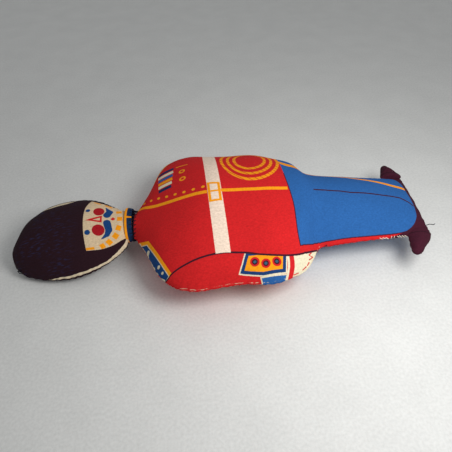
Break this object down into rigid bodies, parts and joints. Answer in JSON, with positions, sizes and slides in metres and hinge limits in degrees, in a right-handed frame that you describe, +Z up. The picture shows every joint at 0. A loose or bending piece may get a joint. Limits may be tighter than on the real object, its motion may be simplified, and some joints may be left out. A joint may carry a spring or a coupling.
{
  "type": "rag doll",
  "caption": "Flat cut-and-sew cloth doll of a guardsman in a tall fur cap, stuffed with wadding, with a floppy neck and feet that flap.",
  "frame": {"origin": "on the surface the doll lies on, under the middle of its footprint", "axes": "+X along the doll from the crown of the head to the feet, +Y to the doll's right, +Z up out of the doll's front"},
  "size_m": [0.4028, 0.1844, 0.0681],
  "materials": {
    "printed_tunic_cloth": "plain-woven cotton printed in red, blue, cream and yellow",
    "cap_cloth": "plain-woven cotton printed nearly black, with a face",
    "collar_cloth": "plain-woven cotton printed blue with yellow lines",
    "boot_cloth": "plain-woven cotton printed dark maroon",
    "wadding": "loose fibre filling",
    "dark_thread": "dark cotton sewing thread",
    "pale_thread": "cream cotton sewing thread"
  },
  "bodies": {
    "body": {"body_front_panel": "printed_tunic_cloth", "body_back_panel": "printed_tunic_cloth", "body_stuffing": "wadding", "leg_closing_stitches": "pale_thread"},
    "neck_turn": {"neck_stitches": "dark_thread"},
    "neck_nod": {"collar": "collar_cloth"},
    "head": {"head_front_panel": "cap_cloth", "head_back_panel": "cap_cloth", "head_stuffing": "wadding", "crown_closing_stitches": "dark_thread"},
    "left_foot": {"left_foot_front_panel": "boot_cloth", "left_foot_back_panel": "boot_cloth", "left_foot_stuffing": "wadding"},
    "right_foot": {"right_foot_front_panel": "boot_cloth", "right_foot_back_panel": "boot_cloth", "right_foot_stuffing": "wadding"}
  },
  "joints": [
    {"name": "head_turn", "type": "hinge", "parent": "body", "child": "neck_turn", "pos_m": [-0.09327, -0.003, 0.025], "axis": [1, 0, 0], "range_deg": [-40, 40], "deforming": ["neck_stitches"]},
    {"name": "head_nod", "type": "hinge", "parent": "neck_turn", "child": "neck_nod", "pos_m": [-0.09327, -0.003, 0.025], "axis": [0, 1, 0], "range_deg": [-45, 60], "deforming": ["collar"]},
    {"name": "head_lean", "type": "hinge", "parent": "neck_nod", "child": "head", "pos_m": [-0.09327, -0.003, 0.025], "axis": [0, 0, 1], "range_deg": [-30, 27]},
    {"name": "left_foot_flap", "type": "hinge", "parent": "body", "child": "left_foot", "pos_m": [0.18853, -0.0461, 0.03], "axis": [-1, 0, 0], "range_deg": [-40, 60], "stiffness_Nm_per_rad": 0.01},
    {"name": "right_foot_flap", "type": "hinge", "parent": "body", "child": "right_foot", "pos_m": [0.18853, 0.0461, 0.03], "axis": [1, 0, 0], "range_deg": [-27, 73], "stiffness_Nm_per_rad": 0.01}
  ]
}
